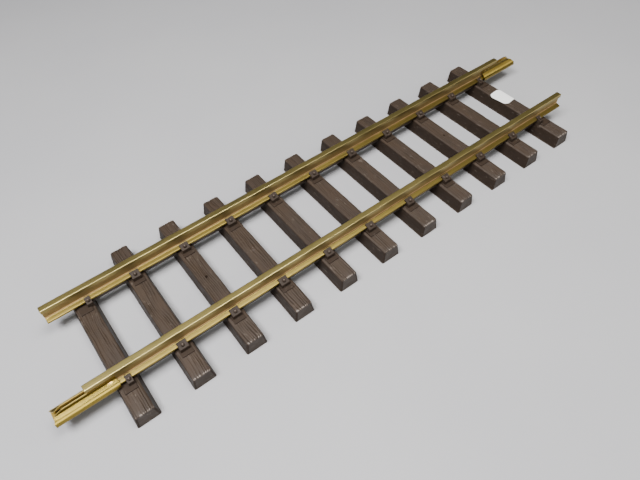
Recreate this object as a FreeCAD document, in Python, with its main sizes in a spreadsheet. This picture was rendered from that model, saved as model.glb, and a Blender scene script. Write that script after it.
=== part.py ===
"""Straight section of 45 mm gauge model track, millimetres.

Axes: +X along the track, +Y across it, +Z up. The origin is on the ground under
the middle of the section, half way between the rails.

A sleeper is a hollow moulding with two rail chairs on top. The rails are drawn
brass and are held down by the chairs. A rolled brass joiner sits on one end of
each rail, at opposite corners of the section.
"""
import FreeCAD, Part
import os
import Sketcher

SIZES = {
    # track as a whole
    "gauge": 45.0,
    "rail_length": 300.0,
    "bare_end_reach": 1.5,
    "sleeper_pitch": 27.0,
    # rail section
    "rail_height": 8.4,
    "head_width": 3.2,
    "head_side": 2.1,
    "head_under": 0.45,
    "web_thick": 1.3,
    "foot_width": 6.5,
    "foot_edge": 1.1,
    "foot_rise": 0.55,
    "head_round": 0.3,
    "foot_round": 0.45,
    "web_round": 0.6,
    # sleeper
    "sleeper_length": 88.0,
    "sleeper_width": 11.1,
    "sleeper_height": 8.0,
    "side_inset": 1.0,
    "end_inset": 0.4,
    "corner_round": 1.0,
    "edge_round": 0.8,
    "cell_width": 6.8,
    "cell_depth": 6.2,
    "end_wall": 2.6,
    "rib_thick": 1.2,
    "middle_rib": 3.6,
    "nail_hole": 1.4,
    "short_lap": 0.2,
    # rail chair
    "plate_reach": 7.7,
    "plate_width": 6.0,
    "plate_thick": 0.5,
    "seat_rise": 1.7,
    "clip_reach": 5.4,
    "clip_width": 4.6,
    "clip_low": 1.0,
    "clip_high": 2.4,
    "clip_gap": 1.0,
    "chair_root": 0.35,
    "end_clip_width": 2.8,
    "joined_clip_shift": 1.5,
    "bare_clip_shift": 3.0,
    "rail_clearance": 0.05,
    "nut_offset": 3.8,
    "nut_across": 1.9,
    "nut_height": 0.65,
    "nut_root": 1.0,
    "stud_thick": 0.9,
    "stud_height": 0.45,
    # links under the rails
    "link_width": 3.0,
    "link_bottom": 6.2,
    "link_top": 7.6,
    # rail joiner
    "joiner_length": 28.0,
    "joiner_overlap": 12.5,
    "sheet_thick": 0.55,
    "sleeve_side": 0.45,
    "lip_gap": 0.05,
    "lip_bend": 3.9,
    "lip_top": 5.1,
    "flank_rise": 2.1,
    "sleeve_round": 1.4,
    "lead_length": 5.0,
    "lead_drop": 3.3,
    # blank label
    "label_length": 13.2,
    "label_width": 9.4,
    "label_thick": 0.12,
    "label_round": 2.6,
    "label_turn": 5.0,
    "label_place": 2.6,
}
SLEEPERS = 11
CELLS_PER_SIDE = 3
SHORT_SLEEPER = 1
NAILED_SLEEPERS = (3, 9)
LABELLED_SLEEPER = 11
RAIL_SIDES = ((-1, "near"), (1, "far"))

doc = FreeCAD.newDocument("track_section")
sheet = doc.addObject("Spreadsheet::Sheet", "Sizes")
for row, (alias, number) in enumerate(SIZES.items(), start=1):
    sheet.set("A%d" % row, alias)
    sheet.set("B%d" % row, str(number))
    sheet.setAlias("B%d" % row, alias)
doc.recompute()

# lengths worked out from the sheet, as expressions
RAIL_CENTRE = "(Sizes.gauge + Sizes.head_width) / 2"
RAIL_SEAT = "(Sizes.sleeper_height + Sizes.seat_rise)"
FOOT_TOP = "(Sizes.foot_edge + Sizes.rail_clearance)"
SIDE_SLOPE = "(Sizes.side_inset / Sizes.sleeper_height)"
SHORT_REACH = "(%s + Sizes.plate_reach + Sizes.short_lap)" % RAIL_CENTRE
FULL_REACH = "(Sizes.sleeper_length / 2)"
CLEAR = 1  # how far a cutting outline runs past the solid it trims


def origin_plane(body, role):
    """The body's own origin plane of that role, such as XY_Plane."""
    return next(item for item in body.Origin.OriginFeatures if item.Role == role)


def new_body(label):
    """An empty body whose label names its file."""
    body = doc.addObject("PartDesign::Body", label)
    body.Label = label
    return body


def new_sketch(body, name, role, lift=None):
    """A sketch on one of the body's origin planes, raised along its normal."""
    sketch = body.newObject("Sketcher::SketchObject", name)
    sketch.AttachmentSupport = [(origin_plane(body, role), "")]
    sketch.MapMode = "FlatFace"
    if lift is not None:
        sketch.setExpression("AttachmentOffset.Base.z", lift)
    return sketch


def tie(sketch, kind, point, expression):
    """Hold one coordinate of a point, measured from the origin, to an expression."""
    number = sketch.addConstraint(Sketcher.Constraint(kind, -1, 1, point[0], point[1], 1.0))
    sketch.setExpression("Constraints[%d]" % number, expression)


def polygon(sketch, corners):
    """Add a closed outline; each corner is a pair of expressions."""
    first = sketch.GeometryCount
    count = len(corners)
    turn = [FreeCAD.Rotation(FreeCAD.Vector(0, 0, 1), 360.0 * i / count) for i in range(count)]
    start = [rotation.multVec(FreeCAD.Vector(5, 0, 0)) for rotation in turn]
    for i in range(count):
        sketch.addGeometry(Part.LineSegment(start[i], start[(i + 1) % count]), False)
    for i in range(count):
        after = first + (i + 1) % count
        sketch.addConstraint(Sketcher.Constraint("Coincident", first + i, 2, after, 1))
    for i, (across, up) in enumerate(corners):
        tie(sketch, "DistanceX", (first + i, 1), across)
        tie(sketch, "DistanceY", (first + i, 1), up)


def mirrored(half):
    """A whole outline from its right-hand half, listed from the bottom to the top."""
    left = [("-(%s)" % across, up) for across, up in reversed(half)]
    return half + left


def circle(sketch, across, up, diameter):
    """Add a circle whose centre and diameter are expressions."""
    number = sketch.addGeometry(Part.Circle(FreeCAD.Vector(2, 2, 0), FreeCAD.Vector(0, 0, 1), 1.0))
    tie(sketch, "DistanceX", (number, 3), across)
    tie(sketch, "DistanceY", (number, 3), up)
    held = sketch.addConstraint(Sketcher.Constraint("Diameter", number, 1.0))
    sketch.setExpression("Constraints[%d]" % held, diameter)


def pad(body, name, sketch, length, both_ways=False):
    """Extrude a sketch by an expression, about its own plane if both_ways."""
    feature = body.newObject("PartDesign::Pad", name)
    feature.Profile = sketch
    if both_ways:
        feature.SideType = "Symmetric"
    feature.setExpression("Length", length)
    return feature


def pocket(body, name, sketch, length, both_ways=False, reverse=False):
    """Cut a sketch away by an expression and check that it cut something."""
    doc.recompute()
    before = body.Shape.Volume
    feature = body.newObject("PartDesign::Pocket", name)
    feature.Profile = sketch
    if both_ways:
        feature.SideType = "Symmetric"
    feature.Reversed = reverse
    feature.setExpression("Length", length)
    doc.recompute()
    if body.Shape.Volume > before - 1e-3:
        raise RuntimeError("%s cut nothing" % name)
    return feature


def fillet(body, name, radius, wanted):
    """Round the edges of the body's present shape that wanted(edge) picks."""
    doc.recompute()
    base = body.Tip
    edges = base.Shape.Edges
    names = ["Edge%d" % (i + 1) for i, edge in enumerate(edges) if wanted(edge)]
    if not names:
        raise RuntimeError("%s found no edge" % name)
    feature = body.newObject("PartDesign::Fillet", name)
    feature.Base = (base, names)
    feature.setExpression("Radius", radius)
    doc.recompute()
    return feature


def ends(edge):
    """The two end points of an edge."""
    return edge.firstVertex().Point, edge.lastVertex().Point


def runs_along(edge, places):
    """True if the edge runs along X through one of the (y, z) places."""
    one, two = ends(edge)
    if abs(one.x - two.x) < 1.0:
        return False
    return any(abs(one.y - y) + abs(one.z - z) < 0.02 for y, z in places)


def both_sides(places):
    """The same places on both sides of the centreline."""
    return [(side * y, z) for y, z in places for side in (-1, 1)]


# ---- rails -------------------------------------------------------------------


def rail_half():
    """Right-hand half of the rail section, from the foot's underside to the head."""
    web = "Sizes.web_thick / 2"
    foot = "Sizes.foot_width / 2"
    head = "Sizes.head_width / 2"
    return [
        (foot, "0"),
        (foot, "Sizes.foot_edge"),
        (web, "Sizes.foot_edge + Sizes.foot_rise"),
        (web, "Sizes.rail_height - Sizes.head_side - Sizes.head_under"),
        (head, "Sizes.rail_height - Sizes.head_side"),
        (head, "Sizes.rail_height"),
    ]


def make_rail(label, side):
    """A length of drawn rail, its foot on the chairs of every sleeper.

    The end without a joiner stands a little further out than the other.
    """
    body = new_body(label)
    section = new_sketch(body, label + "_section", "YZ_Plane")
    polygon(section, mirrored(rail_half()))
    pad(body, label + "_length", section, "Sizes.rail_length + Sizes.bare_end_reach", both_ways=True)
    foot, head = SIZES["foot_width"] / 2, SIZES["head_width"] / 2
    web, top = SIZES["web_thick"] / 2, SIZES["rail_height"]
    shoulder = SIZES["foot_edge"] + SIZES["foot_rise"]
    under = top - SIZES["head_side"] - SIZES["head_under"]
    head_edges = both_sides([(head, top)])
    foot_edges = both_sides([(foot, 0.0), (foot, SIZES["foot_edge"])])
    web_edges = both_sides([(web, shoulder), (web, under)])
    fillet(body, label + "_head", "Sizes.head_round", lambda e: runs_along(e, head_edges))
    fillet(body, label + "_foot", "Sizes.foot_round", lambda e: runs_along(e, foot_edges))
    fillet(body, label + "_web", "Sizes.web_round", lambda e: runs_along(e, web_edges))
    body.setExpression("Placement.Base.x", "%d * Sizes.bare_end_reach / 2" % -side)
    body.setExpression("Placement.Base.y", "%d * %s" % (side, RAIL_CENTRE))
    body.setExpression("Placement.Base.z", RAIL_SEAT)
    return body


# ---- sleepers ----------------------------------------------------------------


def rectangle(sketch, left, right, low, high):
    """Add a rectangle whose four sides are expressions."""
    polygon(sketch, [(left, low), (right, low), (right, high), (left, high)])


def chair_sections(sketch, corners, sides=(-1, 1)):
    """Draw a chair outline about the rails' centrelines, measured from the sleeper's top."""
    for side in sides:
        placed = []
        for across, up in corners:
            y = "%d * %s + (%s)" % (side, RAIL_CENTRE, across)
            placed.append((y, "Sizes.sleeper_height + (%s)" % up))
        polygon(sketch, placed)


def clip_place(number):
    """Width of a sleeper's clips and how far along the track each rail's are shifted.

    Those of the two end sleepers are narrow and stand further in, clear of the joiners.
    """
    if number == 1:
        return "Sizes.end_clip_width", {-1: "Sizes.joined_clip_shift", 1: "Sizes.bare_clip_shift"}
    if number == SLEEPERS:
        return "Sizes.end_clip_width", {-1: "-Sizes.bare_clip_shift", 1: "-Sizes.joined_clip_shift"}
    return "Sizes.clip_width", {-1: "0", 1: "0"}


def make_sleeper(number):
    """One moulded sleeper with the chairs for both rails."""
    label = "sleeper_%02d" % number
    short = number == SHORT_SLEEPER
    reach = SHORT_REACH if short else FULL_REACH
    body = new_body(label)

    section = new_sketch(body, label + "_section", "XZ_Plane", "-" + reach)
    half = "Sizes.sleeper_width / 2"
    polygon(section, mirrored([(half, "0"), (half + " - Sizes.side_inset", "Sizes.sleeper_height")]))
    pad(body, label + "_block", section, "%s + %s" % (reach, FULL_REACH))
    slants = new_sketch(body, label + "_end_slants", "YZ_Plane")
    above = "Sizes.sleeper_height + %d" % CLEAR
    for way, far in ((-1, FULL_REACH), (1, reach)):
        top = "%d * (%s - Sizes.end_inset)" % (way, far)
        out = "%d * (%s + %d)" % (way, far, CLEAR)
        polygon(slants, [("%d * %s" % (way, far), "0"), (top, "Sizes.sleeper_height"),
                         (top, above), (out, above), (out, "0")])
    pocket(body, label + "_ends", slants, "2 * Sizes.sleeper_width", both_ways=True)
    tall = SIZES["sleeper_height"]
    fillet(body, label + "_corners", "Sizes.corner_round",
           lambda e: abs(abs(ends(e)[0].z - ends(e)[1].z) - tall) < 0.01)
    fillet(body, label + "_edges", "Sizes.edge_round",
           lambda e: all(abs(p.z - tall) < 0.01 for p in ends(e)))

    clip_width, shift = clip_place(number)
    plates = new_sketch(body, label + "_plates", "YZ_Plane")
    root = "-Sizes.chair_root"
    out = "Sizes.plate_reach"
    chair_sections(plates, mirrored([(out, root), (out, "Sizes.plate_thick")]))
    pad(body, label + "_plate", plates, "Sizes.plate_width", both_ways=True)

    high = "Sizes.seat_rise + Sizes.clip_high"
    low = "Sizes.seat_rise + Sizes.clip_low"
    inner = "Sizes.web_thick / 2 + Sizes.clip_gap"
    block = mirrored([("Sizes.clip_reach", root), ("Sizes.clip_reach", low), (inner, high)])
    for side, word in RAIL_SIDES:
        clip = new_sketch(body, "%s_%s_block" % (label, word), "YZ_Plane", shift[side])
        chair_sections(clip, block, sides=(side,))
        pad(body, "%s_%s_clip" % (label, word), clip, clip_width, both_ways=True)

    nut_seat = "(Sizes.sleeper_height + Sizes.seat_rise + (Sizes.clip_low + Sizes.clip_high) / 2)"
    nut_root = "%s - Sizes.nut_root" % nut_seat
    nuts = new_sketch(body, label + "_nuts", "XY_Plane", nut_root)
    studs = new_sketch(body, label + "_studs", "XY_Plane", nut_root)
    for rail in (-1, 1):
        for clip in (-1, 1):
            y = "(%d * %s + %d * Sizes.nut_offset)" % (rail, RAIL_CENTRE, clip)
            corners = []
            for corner in range(6):
                x = "%s + Sizes.nut_across / sqrt(3) * cos(%d deg)" % (shift[rail], 60 * corner)
                up = "%s + Sizes.nut_across / sqrt(3) * sin(%d deg)" % (y, 60 * corner)
                corners.append((x, up))
            polygon(nuts, corners)
            circle(studs, shift[rail], y, "Sizes.stud_thick")
    pad(body, label + "_nut", nuts, "Sizes.nut_root + Sizes.nut_height")
    pad(body, label + "_stud", studs, "Sizes.nut_root + Sizes.nut_height + Sizes.stud_height")

    slot = new_sketch(body, label + "_slot", "YZ_Plane")
    side = "Sizes.foot_width / 2 + Sizes.rail_clearance"
    seat = "Sizes.seat_rise"
    slope = "(Sizes.foot_width / 2 - (%s)) / (Sizes.foot_width / 2 - Sizes.web_thick / 2)" % inner
    shoulder = "%s + %s + Sizes.foot_rise * %s" % (seat, FOOT_TOP, slope)
    above = "Sizes.seat_rise + Sizes.clip_high + %d" % CLEAR
    chair_sections(slot, mirrored([(side, seat), (side, "%s + %s" % (seat, FOOT_TOP)),
                                   (inner, shoulder), (inner, above)]))
    pocket(body, label + "_rail_way", slot, "2 * Sizes.plate_width", both_ways=True)

    cells = new_sketch(body, label + "_cells", "XY_Plane")
    cell = "Sizes.cell_width / 2"
    for way, far in ((-1, FULL_REACH), (1, reach)):
        room = "(%s - Sizes.end_wall - Sizes.middle_rib / 2 - %d * Sizes.rib_thick)" % (far, CELLS_PER_SIDE - 1)
        for i in range(CELLS_PER_SIDE):
            near_side = "Sizes.middle_rib / 2 + %d * (%s / %d + Sizes.rib_thick)" % (i, room, CELLS_PER_SIDE)
            far_side = "%s + %s / %d" % (near_side, room, CELLS_PER_SIDE)
            if way < 0:
                rectangle(cells, "-%s" % cell, cell, "-(%s)" % far_side, "-(%s)" % near_side)
            else:
                rectangle(cells, "-%s" % cell, cell, near_side, far_side)
    pocket(body, label + "_hollow", cells, "Sizes.cell_depth", reverse=True)

    if number in NAILED_SLEEPERS:
        nail = new_sketch(body, label + "_nail", "XY_Plane")
        circle(nail, "0", "0", "Sizes.nail_hole")
        pocket(body, label + "_nail_hole", nail, "2 * Sizes.sleeper_height", both_ways=True)
    body.setExpression("Placement.Base.x", "%d * Sizes.sleeper_pitch" % (number - (SLEEPERS + 1) // 2))
    return body


def make_links(label, side):
    """The thin bars of the moulding that join neighbouring sleepers under one rail."""
    body = new_body(label)
    body.AllowCompound = True
    section = new_sketch(body, label + "_section", "XZ_Plane")
    for i in range(SLEEPERS - 1):
        middle = "%g * Sizes.sleeper_pitch" % (i + 1 - SLEEPERS / 2)
        corners = []
        for way, level in ((-1, "link_bottom"), (1, "link_bottom"), (1, "link_top"), (-1, "link_top")):
            gap = "(Sizes.sleeper_pitch - Sizes.sleeper_width) / 2 + Sizes.%s * %s" % (level, SIDE_SLOPE)
            corners.append(("%s + %d * (%s)" % (middle, way, gap), "Sizes.%s" % level))
        polygon(section, corners)
    pad(body, label + "_bars", section, "Sizes.link_width", both_ways=True)
    body.setExpression("Placement.Base.y", "%d * %s" % (side, RAIL_CENTRE))
    return body


# ---- joiners -----------------------------------------------------------------


def joiner_half():
    """Right-hand half of the sleeve: outside from the bottom up, then inside back down."""
    wide = "(Sizes.foot_width / 2 + Sizes.sleeve_side + Sizes.sheet_thick)"
    lip = "(Sizes.web_thick / 2 + Sizes.lip_gap + Sizes.sheet_thick)"
    slant = "(Sizes.flank_rise / (%s - %s))" % (wide, lip)
    step = "(Sizes.sheet_thick * sqrt(1 + %s * %s))" % (slant, slant)
    inside = "(Sizes.sheet_thick * %s - %s)" % (slant, step)
    return [
        (wide, "-Sizes.sheet_thick"),
        (wide, "Sizes.lip_bend - Sizes.flank_rise"),
        (lip, "Sizes.lip_bend"),
        (lip, "Sizes.lip_top"),
        ("%s - Sizes.sheet_thick" % lip, "Sizes.lip_top"),
        ("%s - Sizes.sheet_thick" % lip, "Sizes.lip_bend + %s" % inside),
        ("%s - Sizes.sheet_thick" % wide, "Sizes.lip_bend - Sizes.flank_rise + %s" % inside),
        ("%s - Sizes.sheet_thick" % wide, "0"),
    ]


def make_joiner(label, end, side):
    """A sleeve rolled from sheet round the rail's foot, with two lips beside the web."""
    body = new_body(label)
    section = new_sketch(body, label + "_section", "YZ_Plane")
    polygon(section, mirrored(joiner_half()))
    pad(body, label + "_sleeve", section, "Sizes.joiner_length")
    wide = SIZES["foot_width"] / 2 + SIZES["sleeve_side"] + SIZES["sheet_thick"]
    lip = SIZES["web_thick"] / 2 + SIZES["lip_gap"] + SIZES["sheet_thick"]
    thick = SIZES["sheet_thick"]
    slant = SIZES["flank_rise"] / (wide - lip)
    inside = thick * slant - thick * (1 + slant * slant) ** 0.5
    knee = SIZES["lip_bend"] - SIZES["flank_rise"]
    outer = both_sides([(wide, -thick), (wide, knee)])
    inner = both_sides([(wide - thick, 0.0), (wide - thick, knee + inside)])
    fillet(body, label + "_outside", "Sizes.sleeve_round", lambda e: runs_along(e, outer))
    fillet(body, label + "_inside", "Sizes.sleeve_round - Sizes.sheet_thick",
           lambda e: runs_along(e, inner))
    lead = new_sketch(body, label + "_lead", "XZ_Plane")
    end_face = "Sizes.joiner_length"
    beyond = "%s + %d" % (end_face, CLEAR)
    lead_start = "%s - Sizes.lead_length" % end_face
    lead_end = "Sizes.lip_top - Sizes.lead_drop"
    over = "Sizes.lip_top + %d" % CLEAR
    polygon(lead, [(end_face, lead_end), (beyond, lead_end), (beyond, over),
                   (lead_start, over), (lead_start, "Sizes.lip_top")])
    pocket(body, label + "_lead_in", lead, "4 * Sizes.foot_width", both_ways=True)
    if end < 0:
        body.Placement.Rotation = FreeCAD.Rotation(FreeCAD.Vector(0, 0, 1), 180)
    body.setExpression("Placement.Base.x", "%d * (Sizes.rail_length / 2 - Sizes.joiner_overlap)" % end)
    body.setExpression("Placement.Base.y", "%d * %s" % (side, RAIL_CENTRE))
    body.setExpression("Placement.Base.z", RAIL_SEAT)
    return body


# ---- label -------------------------------------------------------------------


def make_label(label):
    """A blank paper label stuck across the top of one sleeper."""
    body = new_body(label)
    outline = new_sketch(body, label + "_outline", "XY_Plane")
    wide, long = "Sizes.label_width / 2", "Sizes.label_length / 2"
    rectangle(outline, "-" + wide, wide, "-" + long, long)
    pad(body, label + "_sheet", outline, "Sizes.label_thick")
    fillet(body, label + "_ends", "Sizes.label_round",
           lambda e: abs(ends(e)[0].z - ends(e)[1].z) > 0.01)
    body.Placement.Rotation = FreeCAD.Rotation(FreeCAD.Vector(0, 0, 1), SIZES["label_turn"])
    middle = LABELLED_SLEEPER - (SLEEPERS + 1) // 2
    body.setExpression("Placement.Base.x", "%d * Sizes.sleeper_pitch" % middle)
    body.setExpression("Placement.Base.y", "Sizes.label_place")
    body.setExpression("Placement.Base.z", "Sizes.sleeper_height")
    return body


pieces = [make_rail("rail_near", -1), make_rail("rail_far", 1)]
pieces += [make_sleeper(number) for number in range(1, SLEEPERS + 1)]
pieces += [make_links("sleeper_links_near", -1), make_links("sleeper_links_far", 1)]
pieces += [make_joiner("joiner_near_left", -1, -1), make_joiner("joiner_far_right", 1, 1)]
pieces.append(make_label("blank_label"))
doc.recompute()

for item in doc.Objects:
    if "Invalid" in item.State or "Error" in item.State:
        raise RuntimeError("%s did not build: %s" % (item.Label, item.State))
for piece in pieces:
    if piece.Shape.isNull() or not piece.Shape.isValid():
        raise RuntimeError("%s has no valid shape" % piece.Label)

os.makedirs("parts", exist_ok=True)
for piece in pieces:
    piece.Shape.exportStep("parts/%s.step" % piece.Label)
    box = piece.Shape.BoundBox
    print("%-20s %d solid(s) %9.2f mm3  x %.2f..%.2f  y %.2f..%.2f  z %.2f..%.2f" % (
        piece.Label, len(piece.Shape.Solids), piece.Shape.Volume,
        box.XMin, box.XMax, box.YMin, box.YMax, box.ZMin, box.ZMax))
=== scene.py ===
"""Looks of a straight section of 45 mm gauge model track, on a pale studio floor.

The brass rails and joiners, the wood-grained plastic sleepers with their rail chairs and
the blank paper label are worked out here. The bars under the rails keep their own shape
and get the sleeper plastic. Lengths are in millimetres and are turned to metres where a
mesh is made.
"""

import math

import bmesh
import bpy
import numpy as np
from mathutils import Matrix, Vector


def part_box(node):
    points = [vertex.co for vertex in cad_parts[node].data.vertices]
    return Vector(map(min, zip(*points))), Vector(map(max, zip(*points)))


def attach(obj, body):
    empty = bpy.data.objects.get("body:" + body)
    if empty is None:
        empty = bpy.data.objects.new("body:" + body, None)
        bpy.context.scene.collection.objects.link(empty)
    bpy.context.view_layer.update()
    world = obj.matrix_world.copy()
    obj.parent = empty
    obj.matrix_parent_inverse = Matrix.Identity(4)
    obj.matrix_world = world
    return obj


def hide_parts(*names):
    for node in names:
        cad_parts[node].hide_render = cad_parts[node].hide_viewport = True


MM = 0.001
WELD = 1e-4
LATTICE = 64

SLEEPER_COUNT = 11
NAILED = (3, 9)
GATE_MARKED = (4, 6, 7, 8)
END_CLIPS = {1: (1.5, 3.0), 11: (-3.0, -1.5)}

# rail section
HEAD_WIDTH = 3.2
HEAD_SIDE = 2.1
HEAD_UNDER = 0.45
WEB_THICK = 1.3
FOOT_WIDTH = 6.5
FOOT_EDGE = 1.1
FOOT_RISE = 0.55
RAIL_HEIGHT = 8.4
HEAD_CROWN = 0.02

# sleeper
SLEEPER_HEIGHT = 8.0
SIDE_INSET = 1.0
END_INSET = 0.4
CELL_WIDTH = 6.8
CELL_DEPTH = 6.2
CELLS_PER_SIDE = 3
END_WALL = 2.6
RIB_THICK = 1.2
MIDDLE_RIB = 3.6
NAIL_HOLE = 1.4
FOOT_PLAN_ROUND = 0.7
TOP_PLAN_ROUND = 0.95
TOP_ROUND = 0.9
END_ROUND = 0.5

# moulded wood grain
GRAIN_PITCH = 1.1
GRAIN_WIDTH = 0.17
GRAIN_DEEP = 0.25
FIBRE_DEEP = 0.08
HEWN_DEEP = 0.3

# rail chair
PLATE_REACH = 7.7
PLATE_WIDTH = 6.0
PLATE_THICK = 0.5
SEAT_RISE = 1.7
CLIP_REACH = 5.4
CLIP_WIDTH = 4.6
END_CLIP_WIDTH = 2.8
CLIP_LOW = 1.0
CLIP_HIGH = 2.4
CLIP_INNER = 1.65
CHAIR_ROOT = 0.45
NUT_OFFSET = 3.8
NUT_RADIUS = 0.95
NUT_HEIGHT = 0.5
STUD_RADIUS = 0.45
STUD_HEIGHT = 0.5
# Painted shade: how strongly the chairs, nuts and studs are painted darker.
CHAIR_SHADE = 0.7

# joiner
SHEET_THICK = 0.55
SLEEVE_HALF = 4.25
LIP_HALF = 1.25
LIP_BEND = 3.9
LIP_TOP = 5.1
LIP_SINK = 0.55
FLANK_DROP = 1.52
FLANK_ROUND = 2.55
LEAD_LENGTH = 5.0
LEAD_DROP = 3.3

# label
LABEL_LENGTH = 13.1
LABEL_WIDTH = 9.4
LABEL_ROUND = 2.6
LABEL_TURN = math.radians(5.0)
LABEL_THICK = 0.1


# ---- shapes -----------------------------------------------------------------


def smooth_step(value):
    """0 below nothing, 1 above one, and 3t^2 - 2t^3 between."""
    t = np.clip(value, 0.0, 1.0)
    return t * t * (3.0 - 2.0 * t)


def soft_noise(seed, across, along, step_across, step_along):
    """Smooth random swell from -1 to 1: random heights on a lattice of the two steps,
    joined by the curve 3t^2 - 2t^3 both ways."""
    heights = np.random.default_rng(seed).uniform(-1.0, 1.0, (LATTICE, LATTICE))
    a, b = np.asarray(across) / step_across, np.asarray(along) / step_along
    i, j = np.floor(a).astype(int), np.floor(b).astype(int)
    s, t = smooth_step(a - i), smooth_step(b - j)
    i, j, after_i, after_j = i % LATTICE, j % LATTICE, (i + 1) % LATTICE, (j + 1) % LATTICE
    low = heights[i, j] * (1 - s) + heights[after_i, j] * s
    high = heights[i, after_j] * (1 - s) + heights[after_i, after_j] * s
    return low * (1 - t) + high * t


def rounded_line(corners, radii, steps=6):
    """An open line through the corners, each turned on an arc of its radius: the arc
    touches both runs at radius * tan(half the turn) from the corner."""
    line = [np.array(corners[0], float)]
    for before, corner, after, radius in zip(corners, corners[1:], corners[2:], radii):
        corner = np.array(corner, float)
        to_before = np.array(before, float) - corner
        to_after = np.array(after, float) - corner
        to_before /= np.linalg.norm(to_before)
        to_after /= np.linalg.norm(to_after)
        half = math.acos(float(np.clip(to_before @ to_after, -1, 1))) / 2
        reach = radius / math.tan(half)
        middle = (to_before + to_after) / np.linalg.norm(to_before + to_after)
        centre = corner + middle * radius / math.sin(half)
        start, end = corner + to_before * reach - centre, corner + to_after * reach - centre
        turn = math.pi - 2 * half
        t = np.linspace(0, 1, steps)[:, None]
        arc = (np.sin((1 - t) * turn) * start + np.sin(t * turn) * end) / math.sin(turn)
        line.extend(centre + arc)
    line.append(np.array(corners[-1], float))
    return np.array(line)


def divided(line, step):
    """The same line with its long runs divided, so no two points are further apart
    than the step; the old points all stay."""
    gaps = np.linalg.norm(np.diff(line, axis=0), axis=1)
    along = np.concatenate([[0.0], np.cumsum(gaps)])
    extra = np.linspace(0, along[-1], int(along[-1] / step) + 1)
    far_enough = np.abs(extra[:, None] - along[None, :]).min(axis=1) > step * 0.3
    every = np.sort(np.concatenate([along, extra[far_enough]]))
    return np.column_stack([np.interp(every, along, line[:, k]) for k in range(line.shape[1])])


def grid_faces(rows, columns, ring=False):
    """Corner numbers of the squares of a grid of points stored row after row; a ring
    joins the last column to the first."""
    across = columns if ring else columns - 1
    row, column = np.meshgrid(np.arange(rows - 1), np.arange(across), indexing="ij")
    after = (column + 1) % columns
    corners = [row * columns + column, row * columns + after,
               (row + 1) * columns + after, (row + 1) * columns + column]
    return np.stack(corners, axis=-1).reshape(-1, 4)


def weld(points, squares, marks):
    """Make one point of those in the same place; a square that loses a corner becomes
    a triangle, and one that loses more is left out."""
    key = np.round(points / WELD).astype(np.int64)
    _, first, number = np.unique(key, axis=0, return_index=True, return_inverse=True)
    squares = number.reshape(-1)[squares]
    same = squares == np.roll(squares, -1, axis=1)
    crossed = (squares[:, 0] == squares[:, 2]) | (squares[:, 1] == squares[:, 3])
    lost = same.sum(axis=1)
    whole = squares[(lost == 0) & ~crossed]
    pinched = (lost == 1) & ~crossed
    triangles = squares[pinched][~same[pinched]].reshape(-1, 3)
    kept = {name: values[first] for name, values in marks.items()}
    return points[first], whole.tolist() + triangles.tolist(), kept


def merged(shells):
    """Several (points, faces, marks) shells as one; the faces' numbers move on."""
    points, faces, start = [], [], 0
    marks = {name: [] for name in shells[0][2]}
    for shell_points, shell_faces, shell_marks in shells:
        points.append(shell_points)
        faces += [[start + corner for corner in face] for face in shell_faces]
        start += len(shell_points)
        for name, values in shell_marks.items():
            marks[name].append(values)
    return np.concatenate(points), faces, {k: np.concatenate(v) for k, v in marks.items()}


def piece(name, shell, node, material, crease=40.0, bevel=0.0):
    """Put a shell's points, faces and marks into a mesh that stands for a CAD node.
    Its faces are turned outwards and shaded smooth except across sharp creases."""
    points, faces, marks = shell
    mesh = bpy.data.meshes.new(name)
    mesh.from_pydata((points * MM).tolist(), [], faces)
    for mark, values in marks.items():
        layer = mesh.attributes.new(name=mark, type="FLOAT", domain="POINT")
        layer.data.foreach_set("value", np.asarray(values, np.float32))
    work = bmesh.new()
    work.from_mesh(mesh)
    bmesh.ops.recalc_face_normals(work, faces=work.faces[:])
    work.to_mesh(mesh)
    work.free()
    mesh.shade_smooth()
    mesh.set_sharp_from_angle(angle=math.radians(crease))
    mesh.materials.append(material)
    item = bpy.data.objects.new(name, mesh)
    bpy.context.scene.collection.objects.link(item)
    if bevel > 0:
        soften = item.modifiers.new("soft_edges", "BEVEL")
        soften.width = bevel * MM
        soften.segments = 2
        soften.limit_method = "ANGLE"
        soften.angle_limit = math.radians(35)
        soften.harden_normals = False
    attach(item, "root")
    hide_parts(node)
    return item


# ---- rails ------------------------------------------------------------------


def rail_outline():
    """Right-hand half of the rail section from the middle of the foot's underside to the
    middle of the head, with rounds at every corner, as (across, up)."""
    foot, web, head = FOOT_WIDTH / 2, WEB_THICK / 2, HEAD_WIDTH / 2
    shoulder = FOOT_EDGE + FOOT_RISE
    under = RAIL_HEIGHT - HEAD_SIDE - HEAD_UNDER
    corners = [(0, 0), (foot, 0), (foot, FOOT_EDGE), (web, shoulder), (web, under),
               (head, RAIL_HEIGHT - HEAD_SIDE), (head, RAIL_HEIGHT - HEAD_CROWN), (0, RAIL_HEIGHT)]
    return divided(rounded_line(corners, [0.45, 0.45, 0.7, 0.6, 0.2, 0.28]), 0.22)


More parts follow.
